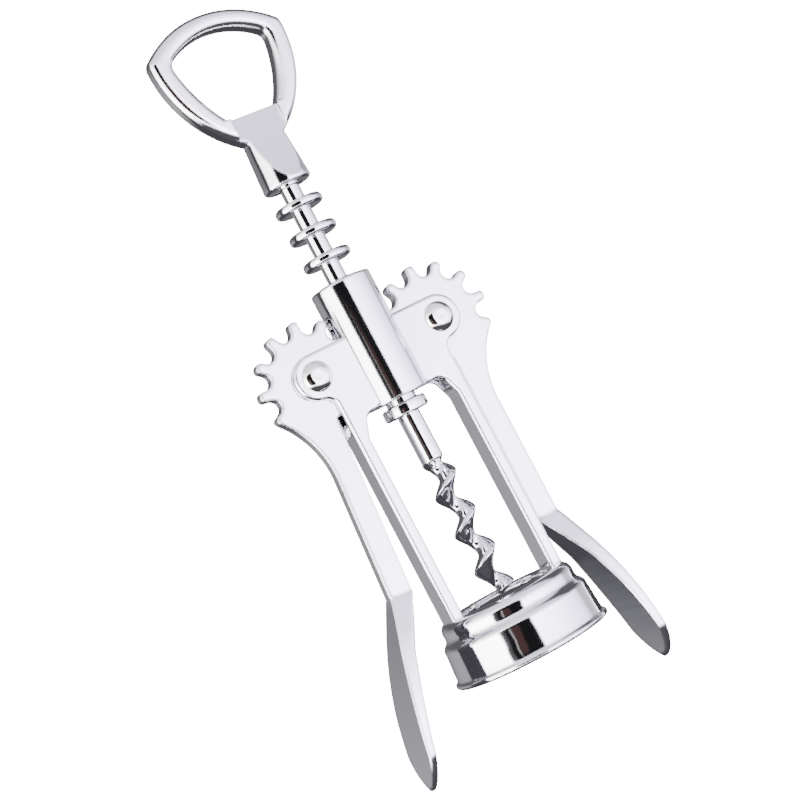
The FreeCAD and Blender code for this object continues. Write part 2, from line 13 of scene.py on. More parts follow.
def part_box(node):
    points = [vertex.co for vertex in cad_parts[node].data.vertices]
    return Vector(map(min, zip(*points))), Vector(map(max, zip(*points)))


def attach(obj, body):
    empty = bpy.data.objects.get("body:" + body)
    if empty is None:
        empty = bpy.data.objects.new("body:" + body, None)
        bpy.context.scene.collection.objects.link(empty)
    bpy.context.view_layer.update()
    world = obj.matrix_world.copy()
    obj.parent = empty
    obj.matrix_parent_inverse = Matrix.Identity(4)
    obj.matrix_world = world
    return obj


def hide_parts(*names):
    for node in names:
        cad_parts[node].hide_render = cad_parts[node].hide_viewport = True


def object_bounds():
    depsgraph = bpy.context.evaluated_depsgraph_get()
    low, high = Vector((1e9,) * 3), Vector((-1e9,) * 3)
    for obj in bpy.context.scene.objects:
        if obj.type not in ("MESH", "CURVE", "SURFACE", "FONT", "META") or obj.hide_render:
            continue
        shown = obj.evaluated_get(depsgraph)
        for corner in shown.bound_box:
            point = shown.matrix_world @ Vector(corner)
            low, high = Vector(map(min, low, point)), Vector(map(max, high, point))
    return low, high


bl_info = {
    "name": "Lever Corkscrew",
    "version": (1, 0, 0),
    "blender": (4, 5, 0),
    "location": "View3D > Sidebar > Corkscrew",
    "description": "Builds the visible pieces and finishes of a lever corkscrew",
    "category": "Object",
}

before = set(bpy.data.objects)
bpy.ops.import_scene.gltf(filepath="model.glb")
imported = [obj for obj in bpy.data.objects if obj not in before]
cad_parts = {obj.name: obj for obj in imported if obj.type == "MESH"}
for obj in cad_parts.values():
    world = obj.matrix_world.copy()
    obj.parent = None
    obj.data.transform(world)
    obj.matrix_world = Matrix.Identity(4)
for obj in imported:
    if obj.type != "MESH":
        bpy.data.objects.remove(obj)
CAD_BOX = [list(corner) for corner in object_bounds()]
MM = 0.001

WELD = 0.002 * MM  # corners nearer than this are one corner
SLIVER = 0.0005 * MM  # faces narrower than this are dropped
GRID_WELD = 0.001 * MM  # joins the worm's grid where it closes on itself
FLAT_WEIGHT = 60  # how strongly wide faces set the shading at their edges
CREASE = 32  # degrees: edges of a casting that turn by more stay sharp
RIVET_CREASE = 40
RACK_CREASE = 50
NECK_CREASES = (113.4 * MM, 132.5 * MM, 8.5)  # lowest, highest, degrees

WORM_AROUND = 97
WORM_STEPS = 520
RUN_OUT_BELOW = 1.4 * MM  # the flight starts to run out this far under the shank
RUN_OUT_ABOVE = 1.0 * MM  # and is gone this far above its start
RACK_AROUND = 96
RING_CORNER = 6  # steps in the rounding of a ring's edge
BURIED = 0.6 * MM  # how far each ring reaches into the shaft
RUNNING_GAP = 0.06 * MM  # between the shoulder and the washer
TAIL = 2 * MM  # radius of the rack's tail
INTO_HANDLE = 1 * MM  # how far the shaft goes on inside the handle


class FinishSettings(bpy.types.PropertyGroup):
    """Colours and textures of the plated metals."""

    cast_colour: bpy.props.FloatVectorProperty(
        name="Casting colour", description="Tint of the plated castings",
        subtype="COLOR", size=3, default=(0.86, 0.855, 0.875), min=0, max=1,
    )
    steel_colour: bpy.props.FloatVectorProperty(
        name="Steel colour", description="Tint of the plated steel pieces",
        subtype="COLOR", size=3, default=(0.84, 0.84, 0.86), min=0, max=1,
    )
    rivet_colour: bpy.props.FloatVectorProperty(
        name="Rivet colour", description="Tint of the pivot rivets",
        subtype="COLOR", size=3, default=(0.86, 0.84, 0.79), min=0, max=1,
    )
    polish: bpy.props.FloatProperty(
        name="Polish roughness", description="Mean roughness of the plated surfaces",
        default=0.06, min=0, max=1,
    )
    ripple: bpy.props.FloatProperty(
        name="Polishing ripple", description="Height of the slow waves that polishing leaves",
        default=0.00002, min=0, max=0.001, subtype="DISTANCE", unit="LENGTH",
    )
    soft_edge: bpy.props.FloatProperty(
        name="Soft edge", description="How far the polishing has softened the look of the edges",
        default=0.8 * MM, min=0, max=0.005, subtype="DISTANCE", unit="LENGTH",
    )


class WormSettings(bpy.types.PropertyGroup):
    """Sizes of the worm's flight and shank."""

    tip: bpy.props.FloatProperty(
        name="Tip height", description="Height of the worm's point",
        default=2.3 * MM, subtype="DISTANCE", unit="LENGTH",
    )
    pitch: bpy.props.FloatProperty(
        name="Pitch", description="Rise of the flight in one turn",
        default=9.95 * MM, min=1 * MM, subtype="DISTANCE", unit="LENGTH",
    )
    reach: bpy.props.FloatProperty(
        name="Flight radius", description="Radius at the flight's edge",
        default=4.03 * MM, min=1 * MM, subtype="DISTANCE", unit="LENGTH",
    )
    shank: bpy.props.FloatProperty(
        name="Shank radius", description="Radius of the plain shank above the flight",
        default=2.85 * MM, min=1 * MM, subtype="DISTANCE", unit="LENGTH",
    )
    shank_low: bpy.props.FloatProperty(
        name="Shank start", description="Height at which the flight runs out into the shank",
        default=37.7 * MM, subtype="DISTANCE", unit="LENGTH",
    )
    tip_slope: bpy.props.FloatProperty(
        name="Tip slope", description="Rise of the cutting point for each metre outwards",
        default=0.45, min=0.05, max=5,
    )


class RackSettings(bpy.types.PropertyGroup):
    """Sizes of the round rack."""

    shaft: bpy.props.FloatProperty(
        name="Shaft radius", description="Radius of the shaft between the rings",
        default=2.5 * MM, min=0.5 * MM, subtype="DISTANCE", unit="LENGTH",
    )
    ring: bpy.props.FloatProperty(
        name="Ring radius", description="Outer radius of the rings",
        default=6.19 * MM, min=1 * MM, subtype="DISTANCE", unit="LENGTH",
    )
    thickness: bpy.props.FloatProperty(
        name="Ring thickness", description="Height of each ring",
        default=2.4 * MM, min=0.5 * MM, subtype="DISTANCE", unit="LENGTH",
    )
    rounding: bpy.props.FloatProperty(
        name="Ring rounding", description="Rounding of the rings' edges",
        default=1.0 * MM, min=0, subtype="DISTANCE", unit="LENGTH",
    )
    low_ring: bpy.props.FloatProperty(
        name="Lowest ring", description="Height of the lowest ring's middle",
        default=56.6 * MM, subtype="DISTANCE", unit="LENGTH",
    )
    pitch: bpy.props.FloatProperty(
        name="Ring pitch", description="Height from one ring to the next",
        default=7.2 * MM, min=1 * MM, subtype="DISTANCE", unit="LENGTH",
    )
    rings: bpy.props.IntProperty(
        name="Rings", description="Number of rings on the shaft", default=8, min=1,
    )
    shoulder: bpy.props.FloatProperty(
        name="Shoulder radius", description="Radius of the shoulder over the washer",
        default=3.9 * MM, min=0.5 * MM, subtype="DISTANCE", unit="LENGTH",
    )


class StageSettings(bpy.types.PropertyGroup):
    """Where the camera stands and how the studio is lit."""

    azimuth: bpy.props.FloatProperty(
        name="Azimuth", description="Camera's angle round the worm's axis",
        default=math.radians(-21.3), subtype="ANGLE", unit="ROTATION",
    )
    roll: bpy.props.FloatProperty(
        name="Roll", description="How far the object leans to the left in the view",
        default=math.radians(27.8), subtype="ANGLE", unit="ROTATION",
    )
    distance: bpy.props.FloatProperty(
        name="Distance", description="Camera to worm's axis",
        default=0.441, min=0.1, subtype="DISTANCE", unit="LENGTH",
    )
    height: bpy.props.FloatProperty(
        name="Height", description="Camera's height over the origin",
        default=0.040, subtype="DISTANCE", unit="LENGTH",
    )
    lens: bpy.props.FloatProperty(
        name="Lens", description="Focal length in millimetres", default=83.0, min=10,
    )
    aim_height: bpy.props.FloatProperty(
        name="Aim height", description="Height on the axis that the camera looks at",
        default=0.0546, subtype="DISTANCE", unit="LENGTH",
    )
    floor_gap: bpy.props.FloatProperty(
        name="Floor gap", description="Floor below the lever tips",
        default=0.004, min=0, subtype="DISTANCE", unit="LENGTH",
    )
    backdrop: bpy.props.FloatProperty(
        name="Backdrop", description="Brightness of the white surround",
        default=18.0, min=0,
    )


# ---------------------------------------------------------------- finishes


def new_material(name):
    """An empty node material and its principled shader."""
    material = bpy.data.materials.new(name)
    material.use_nodes = True
    tree = material.node_tree
    shader = next(node for node in tree.nodes if node.type == "BSDF_PRINCIPLED")
    return material, tree, shader


def add_node(tree, kind, **values):
    """Adds a node and sets its properties and inputs by name."""
    node = tree.nodes.new(kind)
    for key, value in values.items():
        title = key.replace("_", " ")
        if key in node.inputs:
            node.inputs[key].default_value = value
        elif title in node.inputs:
            node.inputs[title].default_value = value
        else:
            setattr(node, key, value)
    return node


def plated(name, colour, rough, ripple, soft_edge):
    """Bright plating: softened edges, slow polishing ripple, fine lines and faint haze."""
    material, tree, shader = new_material(name)
    link = tree.links.new
    shader.inputs["Base Color"].default_value = (*colour, 1)
    shader.inputs["Metallic"].default_value = 1
    where = add_node(tree, "ShaderNodeTexCoord")
    haze = add_node(tree, "ShaderNodeTexNoise", Scale=90, Detail=4, Roughness=0.6)
    link(where.outputs["Object"], haze.inputs["Vector"])
    span = add_node(
        tree, "ShaderNodeMapRange",
        From_Min=0.35, From_Max=0.75, To_Min=rough * 0.6, To_Max=rough * 1.9,
    )
    link(haze.outputs["Fac"], span.inputs["Value"])
    link(span.outputs["Result"], shader.inputs["Roughness"])
    waves = add_node(tree, "ShaderNodeTexNoise", Scale=130, Detail=1, Roughness=0.4)
    link(where.outputs["Object"], waves.inputs["Vector"])
    stretch = add_node(tree, "ShaderNodeMapping", Scale=(9000, 9000, 500))
    link(where.outputs["Object"], stretch.inputs["Vector"])
    lines = add_node(tree, "ShaderNodeTexNoise", Scale=1, Detail=2, Roughness=0.6)
    link(stretch.outputs["Vector"], lines.inputs["Vector"])
    worn = add_node(tree, "ShaderNodeBevel", samples=6, Radius=soft_edge)
    slow = add_node(tree, "ShaderNodeBump", Strength=1, Distance=ripple)
    link(worn.outputs["Normal"], slow.inputs["Normal"])
    link(waves.outputs["Fac"], slow.inputs["Height"])
    fine = add_node(tree, "ShaderNodeBump", Strength=0.2, Distance=0.000002)
    link(lines.outputs["Fac"], fine.inputs["Height"])
    link(slow.outputs["Normal"], fine.inputs["Normal"])
    link(fine.outputs["Normal"], shader.inputs["Normal"])
    return material


# how much the edges of each metal are softened, against the castings'
SOFTNESS = {"cast": 1.0, "lever": 1.7, "steel": 0.35, "rivet": 0.35}


def finish_of(scene, kind):
    """The plating for castings, steel or rivets, made once."""
    name = "plating_" + kind
    if name in bpy.data.materials:
        return bpy.data.materials[name]
    finish = scene.corkscrew_finish
    colour = getattr(finish, ("cast" if kind == "lever" else kind) + "_colour")
    soft_edge = finish.soft_edge * SOFTNESS[kind]
    return plated(name, colour, finish.polish, finish.ripple, soft_edge)


# ---------------------------------------------------------------- pieces


def new_object(name, mesh):
    """A new object at the origin with that mesh."""
    piece = bpy.data.objects.new(name, mesh)
    bpy.context.scene.collection.objects.link(piece)
    return piece


def settled(piece):
    """Turns a piece with modifiers into a plain mesh."""
    graph = bpy.context.evaluated_depsgraph_get()
    graph.update()
    mesh = bpy.data.meshes.new_from_object(piece.evaluated_get(graph))
    piece.modifiers.clear()
    piece.data = mesh
    mesh.name = piece.name
    if not mesh.polygons:
        raise RuntimeError(piece.name + " came out empty")
    return piece


def keep_creases(mesh, low, high, angle):
    """Marks the edges between two heights that turn by more than that angle as sharp."""
    shape = bmesh.new()
    shape.from_mesh(mesh)
    for edge in shape.edges:
        if len(edge.link_faces) == 2 and edge.calc_face_angle() > math.radians(angle):
            if all(low < vert.co.z < high for vert in edge.verts):
                edge.smooth = False
    shape.to_mesh(mesh)
    shape.free()


def polished_copy(node, name, crease, crisp=None):
    """The node's shape, welded and flat on its flats, with the creases that crisp asks for."""
    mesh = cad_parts[node].data.copy()
    mesh.name = name
    welded = bmesh.new()
    welded.from_mesh(mesh)
    bmesh.ops.remove_doubles(welded, verts=welded.verts, dist=WELD)
    bmesh.ops.dissolve_degenerate(welded, edges=welded.edges, dist=SLIVER)
    welded.to_mesh(mesh)
    welded.free()
    mesh.materials.clear()
    mesh.shade_smooth()
    mesh.set_sharp_from_angle(angle=math.radians(crease))
    if crisp:
        keep_creases(mesh, *crisp)
    piece = new_object(name, mesh)
    weights = piece.modifiers.new("flats", "WEIGHTED_NORMAL")
    weights.mode = "FACE_AREA"
    weights.weight = FLAT_WEIGHT
    weights.keep_sharp = True
    return settled(piece)


def hand_over(piece, body, nodes, material):
    """Gives a piece its metal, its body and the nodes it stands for."""
    if piece.data.materials:
        piece.data.materials[0] = material
    else:
        piece.data.materials.append(material)
    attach(piece, body)
    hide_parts(*nodes)


class CORKSCREW_OT_castings(bpy.types.Operator):
    """Polish the frame, the opener handle and both levers"""

    bl_idname = "corkscrew.castings"
    bl_label = "Castings"

    def execute(self, context):
        for node, body, name, kind, crisp in (
            ("frame_casting", "frame", "bell_frame", "cast", None),
            ("opener_handle", "spindle", "opener_loop", "cast", NECK_CREASES),
            ("left_lever", "left_wing", "left_geared_lever", "lever", None),
            ("right_lever", "right_wing", "right_geared_lever", "lever", None),
        ):
            metal = finish_of(context.scene, kind)
            piece = polished_copy(node, name, CREASE, crisp)
            hand_over(piece, body, [node], metal)
        return {"FINISHED"}


class CORKSCREW_OT_rivets(bpy.types.Operator):
    """Polish the two pivot rivets and the stop washer"""

    bl_idname = "corkscrew.rivets"
    bl_label = "Rivets and washer"

    def execute(self, context):
        warm = finish_of(context.scene, "rivet")
        steel = finish_of(context.scene, "steel")
        for side in ("left", "right"):
            piece = polished_copy(side + "_rivet", side + "_pivot_rivet", RIVET_CREASE)
            hand_over(piece, "frame", [side + "_rivet"], warm)
        piece = polished_copy("stop_washer", "loose_washer", CREASE)
        hand_over(piece, "washer", ["stop_washer"], steel)
        return {"FINISHED"}


# ---------------------------------------------------------------- node trees


def new_tree(name, sockets):
    """A geometry node tree with named inputs, its input node and its output node."""
    tree = bpy.data.node_groups.new(name, "GeometryNodeTree")
    tree.interface.new_socket("Geometry", in_out="OUTPUT", socket_type="NodeSocketGeometry")
    for title, kind in sockets:
        tree.interface.new_socket(title, in_out="INPUT", socket_type="NodeSocket" + kind)
    return tree, tree.nodes.new("NodeGroupInput"), tree.nodes.new("NodeGroupOutput")


def calc(tree, operation, *terms):
    """A math node whose terms are numbers or sockets; gives its result."""
    node = tree.nodes.new("ShaderNodeMath")
    node.operation = operation
    for index, term in enumerate(terms):
        if isinstance(term, (int, float)):
            node.inputs[index].default_value = term
        else:
            tree.links.new(term, node.inputs[index])
    return node.outputs[0]


def finish_tree(tree, geometry, group_in, group_out):
    """Ends a tree in smooth shading, realised instances and its material."""
    smooth = add_node(tree, "GeometryNodeSetShadeSmooth")
    real = add_node(tree, "GeometryNodeRealizeInstances")
    paint = add_node(tree, "GeometryNodeSetMaterial")
    tree.links.new(geometry, smooth.inputs["Geometry"])
    tree.links.new(smooth.outputs["Geometry"], real.inputs["Geometry"])
    tree.links.new(real.outputs["Geometry"], paint.inputs["Geometry"])
    tree.links.new(group_in.outputs["Material"], paint.inputs["Material"])
    tree.links.new(paint.outputs["Geometry"], group_out.inputs["Geometry"])


def grown(name, tree, values):
    """A plain mesh piece grown from a node tree with these input values."""
    piece = new_object(name, bpy.data.meshes.new(name))
    modifier = piece.modifiers.new("grow", "NODES")
    modifier.node_group = tree
    for item in tree.interface.items_tree:
        if item.in_out == "INPUT" and item.name in values:
            modifier[item.identifier] = values[item.name]
    return settled(piece)


# share of a turn above the flight's edge -> share of the flight's radius
FLIGHT_SECTION = (
    (0.0, 1.0), (0.055, 0.937), (0.166, 0.65), (0.286, 0.325), (0.387, 0.236),
    (0.49, 0.25), (0.578, 0.305), (0.75, 0.525), (0.85, 0.725), (0.92, 0.875), (1.0, 1.0),
)


def worm_tree():
    """A bar whose radius follows a section that climbs round it, with a cutting point."""
    tree, given, out = new_tree(
        "worm_flight",
        (
            ("Tip", "Float"), ("Top", "Float"), ("Pitch", "Float"), ("Reach", "Float"),
            ("Shank", "Float"), ("Shank Low", "Float"), ("Tip Slope", "Float"),
            ("Around", "Int"), ("Steps", "Int"), ("Material", "Material"),
        ),
    )
    link = tree.links.new
    size = given.outputs
    grid = add_node(tree, "GeometryNodeMeshGrid")
    grid.inputs["Size X"].default_value = 1
    grid.inputs["Size Y"].default_value = 1
    link(size["Around"], grid.inputs["Vertices X"])
    link(size["Steps"], grid.inputs["Vertices Y"])
    place = add_node(tree, "GeometryNodeInputPosition")
    split = add_node(tree, "ShaderNodeSeparateXYZ")
    link(place.outputs["Position"], split.inputs["Vector"])
    turn = calc(tree, "ADD", split.outputs["X"], 0.5)
    climb = calc(tree, "ADD", split.outputs["Y"], 0.5)
    length = calc(tree, "SUBTRACT", size["Top"], size["Tip"])
    above_tip = calc(tree, "MULTIPLY", climb, length)
    height = calc(tree, "ADD", above_tip, size["Tip"])
    # the edge leaves the point on the front, a quarter turn before +X
    turns_up = calc(tree, "DIVIDE", above_tip, size["Pitch"])
    phase = calc(tree, "SUBTRACT", turns_up, calc(tree, "ADD", turn, 0.25))
    share = calc(tree, "FRACT", calc(tree, "ADD", phase, 4))
    section = add_node(tree, "ShaderNodeFloatCurve")
    link(share, section.inputs["Value"])
    curve = section.mapping.curves[0]
    curve.points[0].location = FLIGHT_SECTION[0]
    curve.points[1].location = FLIGHT_SECTION[-1]
    for point in FLIGHT_SECTION[1:-1]:
        curve.points.new(*point)
    section.mapping.update()
    flight = calc(tree, "MULTIPLY", section.outputs["Value"], size["Reach"])
    pointed = calc(tree, "MINIMUM", flight, calc(tree, "DIVIDE", above_tip, size["Tip Slope"]))
    # the flight runs out into the plain shank
    run_out = add_node(tree, "ShaderNodeMapRange", interpolation_type="SMOOTHSTEP")
    link(height, run_out.inputs["Value"])
    link(calc(tree, "SUBTRACT", size["Shank Low"], RUN_OUT_BELOW), run_out.inputs["From Min"])
    link(calc(tree, "ADD", size["Shank Low"], RUN_OUT_ABOVE), run_out.inputs["From Max"])
    blend = add_node(tree, "ShaderNodeMix", data_type="FLOAT")
    link(run_out.outputs["Result"], blend.inputs["Factor"])
    link(pointed, blend.inputs["A"])
    link(size["Shank"], blend.inputs["B"])
    # the last row of the grid has no radius, which closes the top
    open_end = calc(tree, "LESS_THAN", climb, 0.99999)
    radius = calc(tree, "MULTIPLY", blend.outputs["Result"], open_end)
    angle = calc(tree, "MULTIPLY", turn, 2 * math.pi)
    spot = add_node(tree, "ShaderNodeCombineXYZ")
    link(calc(tree, "MULTIPLY", radius, calc(tree, "COSINE", angle)), spot.inputs["X"])
    link(calc(tree, "MULTIPLY", radius, calc(tree, "SINE", angle)), spot.inputs["Y"])
    link(height, spot.inputs["Z"])
    bend = add_node(tree, "GeometryNodeSetPosition")
    link(grid.outputs["Mesh"], bend.inputs["Geometry"])
    link(spot.outputs["Vector"], bend.inputs["Position"])
    weld = add_node(tree, "GeometryNodeMergeByDistance", Distance=GRID_WELD)
    link(bend.outputs["Geometry"], weld.inputs["Geometry"])
    finish_tree(tree, weld.outputs["Geometry"], given, out)
    return tree


def rack_tree():
    """A shaft with a shoulder and evenly spaced rounded rings."""
    tree, given, out = new_tree(
        "rack_rings",
        (
            ("Shaft", "Float"), ("Ring", "Float"), ("Thickness", "Float"), ("Rounding", "Float"),
            ("Low Ring", "Float"), ("Pitch", "Float"), ("Rings", "Int"), ("Shoulder", "Float"),
            ("Shoulder Low", "Float"), ("Top", "Float"), ("Tail", "Float"), ("Bottom", "Float"),
            ("Around", "Int"), ("Material", "Material"),
        ),
    )
    link = tree.links.new
    size = given.outputs
    width = calc(tree, "ADD", calc(tree, "SUBTRACT", size["Ring"], size["Shaft"]), BURIED)
    section = add_node(tree, "GeometryNodeCurvePrimitiveQuadrilateral")
    link(width, section.inputs["Width"])
    link(size["Thickness"], section.inputs["Height"])
    corners = add_node(tree, "GeometryNodeFilletCurve", mode="POLY")
    corners.inputs["Count"].default_value = RING_CORNER
    link(section.outputs["Curve"], corners.inputs["Curve"])
    link(size["Rounding"], corners.inputs["Radius"])
    path = add_node(tree, "GeometryNodeCurvePrimitiveCircle")
    link(size["Around"], path.inputs["Resolution"])
    middle = calc(tree, "SUBTRACT", size["Ring"], calc(tree, "MULTIPLY", width, 0.5))
    link(middle, path.inputs["Radius"])
    ring = add_node(tree, "GeometryNodeCurveToMesh")
    link(path.outputs["Curve"], ring.inputs["Curve"])
    link(corners.outputs["Curve"], ring.inputs["Profile Curve"])
    row = add_node(tree, "GeometryNodeMeshLine")
    link(size["Rings"], row.inputs["Count"])
    for title, source in (("Start Location", size["Low Ring"]), ("Offset", size["Pitch"])):
        spot = add_node(tree, "ShaderNodeCombineXYZ")
        link(source, spot.inputs["Z"])
        link(spot.outputs["Vector"], row.inputs[title])
    copies = add_node(tree, "GeometryNodeInstanceOnPoints")
    link(row.outputs["Mesh"], copies.inputs["Points"])
    link(ring.outputs["Mesh"], copies.inputs["Instance"])
    join = add_node(tree, "GeometryNodeJoinGeometry")
    link(copies.outputs["Instances"], join.inputs["Geometry"])
    for radius, low, high in (
        (size["Shaft"], size["Low Ring"], size["Top"]),
        (size["Shoulder"], size["Shoulder Low"], size["Low Ring"]),
        (size["Tail"], size["Bottom"], size["Shoulder Low"]),
    ):
        bar = add_node(tree, "GeometryNodeCurvePrimitiveLine")
        for title, source in (("Start", low), ("End", high)):
            spot = add_node(tree, "ShaderNodeCombineXYZ")
            link(source, spot.inputs["Z"])
            link(spot.outputs["Vector"], bar.inputs[title])
        rim = add_node(tree, "GeometryNodeCurvePrimitiveCircle")
        link(size["Around"], rim.inputs["Resolution"])
        link(radius, rim.inputs["Radius"])
        swept = add_node(tree, "GeometryNodeCurveToMesh")
        swept.inputs["Fill Caps"].default_value = True
        link(bar.outputs["Curve"], swept.inputs["Curve"])
        link(rim.outputs["Curve"], swept.inputs["Profile Curve"])
        link(swept.outputs["Mesh"], join.inputs["Geometry"])
    finish_tree(tree, join.outputs["Geometry"], given, out)
    return tree


class CORKSCREW_OT_worm(bpy.types.Operator):
    """Grow the worm with its sharp-edged flight"""

    bl_idname = "corkscrew.worm"
    bl_label = "Worm"

    def execute(self, context):
        worm = context.scene.corkscrew_worm
        metal = finish_of(context.scene, "steel")
        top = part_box("worm")[1].z
        piece = grown("flighted_worm", worm_tree(), {
            "Tip": worm.tip, "Top": top, "Pitch": worm.pitch, "Reach": worm.reach,
            "Shank": worm.shank, "Shank Low": worm.shank_low, "Tip Slope": worm.tip_slope,
            "Around": WORM_AROUND, "Steps": WORM_STEPS, "Material": metal,
        })
        hand_over(piece, "spindle", ["worm"], metal)
        return {"FINISHED"}


class CORKSCREW_OT_rack(bpy.types.Operator):
    """Grow the round rack with its rings"""

    bl_idname = "corkscrew.rack"
    bl_label = "Round rack"

    def execute(self, context):
        rack = context.scene.corkscrew_rack
        metal = finish_of(context.scene, "steel")
        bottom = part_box("rack_spindle")[0].z
        shoulder_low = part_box("stop_washer")[1].z + RUNNING_GAP
        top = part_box("opener_handle")[0].z + INTO_HANDLE
        piece = grown("ringed_rack", rack_tree(), {
            "Shaft": rack.shaft, "Ring": rack.ring, "Thickness": rack.thickness,
            "Rounding": rack.rounding, "Low Ring": rack.low_ring, "Pitch": rack.pitch,
            "Rings": rack.rings, "Shoulder": rack.shoulder, "Shoulder Low": shoulder_low,
            "Top": top, "Tail": TAIL, "Bottom": bottom,
            "Around": RACK_AROUND, "Material": metal,
        })
        piece.data.set_sharp_from_angle(angle=math.radians(RACK_CREASE))
        hand_over(piece, "spindle", ["rack_spindle"], metal)
        return {"FINISHED"}


# ---------------------------------------------------------------- stage

# degrees round from the camera, its right-hand side being positive, and the wall's light there
WALLS = (
    (-180, (0.14, 0.14, 0.15)),
    (-158, (0.20, 0.20, 0.21)),
    (-148, (0.32, 0.32, 0.35)),
    (-122, (0.42, 0.42, 0.45)),
    (-105, (0.36, 0.36, 0.39)),
    (-100, (0.08, 0.08, 0.09)),
    (-84, (0.08, 0.08, 0.09)),
    (-78, (9.0, 9.0, 9.0)),
    (-36, (11.0, 11.0, 11.0)),
    (18, (6.8, 6.6, 7.8)),
    (45, (5.8, 5.6, 7.0)),
    (75, (3.8, 3.6, 4.8)),
    (103, (2.4, 2.3, 3.0)),
    (116, (0.75, 0.74, 0.82)),
    (135, (1.00, 0.98, 1.08)),
    (154, (0.80, 0.78, 0.86)),
    (168, (0.26, 0.26, 0.28)),
    (180, (0.14, 0.14, 0.15)),
)
CEILING = (1.7, 1.7, 2.0)
BACK_CEILING = (0.13, 0.13, 0.14)
GROUND = (0.10, 0.10, 0.11)
BACK_GROUND = (0.075, 0.075, 0.085)
# the dark opening behind the camera, the flat round it, and a cloth and a lamp in it:
# middle and half width in degrees, level and half height as a rise, and the light there
DARK_OPENING = (
    ((-6.5, 25.5, 0.0, 0.47), (0.12, 0.12, 0.13)),
    ((-3.5, 21.0, 0.0, 0.45), (0.014, 0.014, 0.016)),
    ((-8.0, 6.0, -0.16, 0.24), (0.085, 0.045, 0.045)),
    ((-15.5, 1.0, -0.16, 0.24), (0.75, 0.70, 0.68)),
)
# rises, from -1 straight down to 1 straight up
CEILING_LOW = 0.66
BACK_CEILING_LOW = 0.30
GROUND_HIGH = -0.52
BACK_GROUND_HIGH = -0.24
BEHIND = 0.05
BEYOND = 2  # past every rise
CEILING_BLUR = 0.12
GROUND_BLUR = 0.10
FLOOR_HALF = 3  # metres
FLOOR_SHARE = 0.95  # the floor's brightness against the backdrop's
SENSOR = 36  # millimetres
AIM_SHIFT = 0.2 * MM


def share_at(degrees):
    """Share of the way round at that many degrees from the camera, -180 being 0."""
    return (degrees + 180) / 360


def world_angle(tree, split):
    """Share of the way round in which a direction lies, -180 degrees being 0."""
    away = calc(tree, "MULTIPLY", split.outputs["Y"], -1)
    angle = calc(tree, "ARCTAN2", split.outputs["X"], away)
    share = add_node(tree, "ShaderNodeMapRange", From_Min=-math.pi, From_Max=math.pi)
    tree.links.new(angle, share.inputs["Value"])
    return share.outputs["Result"]


def within(tree, value, low, high, edge):
    """1 between low and high and 0 outside, blurred that far to each side."""
    rise = add_node(tree, "ShaderNodeMapRange", From_Min=low - edge, From_Max=low + edge)
    fall = add_node(
        tree, "ShaderNodeMapRange",
        From_Min=high - edge, From_Max=high + edge, To_Min=1, To_Max=0,
    )
    tree.links.new(value, rise.inputs["Value"])
    tree.links.new(value, fall.inputs["Value"])
    return calc(tree, "MULTIPLY", rise.outputs["Result"], fall.outputs["Result"])


def rounded_patch(tree, share, rise, middle, half, level, reach):
    """1 inside a rounded patch of the walls, its middle and half width in degrees."""
    aside = calc(tree, "DIVIDE", calc(tree, "SUBTRACT", share, share_at(middle)), half / 360)
    above = calc(tree, "DIVIDE", calc(tree, "SUBTRACT", rise, level), reach)
    wide = calc(tree, "POWER", calc(tree, "ABSOLUTE", aside), 4)
    tall = calc(tree, "POWER", calc(tree, "ABSOLUTE", above), 4)
    inside = add_node(tree, "ShaderNodeMapRange", From_Min=0.75, From_Max=1.3, To_Min=1, To_Max=0)
    tree.links.new(calc(tree, "ADD", wide, tall), inside.inputs["Value"])
    return inside.outputs["Result"]


def laid_over(tree, share, below, colour):
    """The colour below with another laid over it by share."""
    mix = add_node(tree, "ShaderNodeMix", data_type="RGBA")
    slots = [socket for socket in mix.inputs if socket.type == "RGBA"]
    tree.links.new(share, mix.inputs["Factor"])
    tree.links.new(below, slots[0])
    slots[1].default_value = (*colour, 1)
    return next(socket for socket in mix.outputs if socket.type == "RGBA")


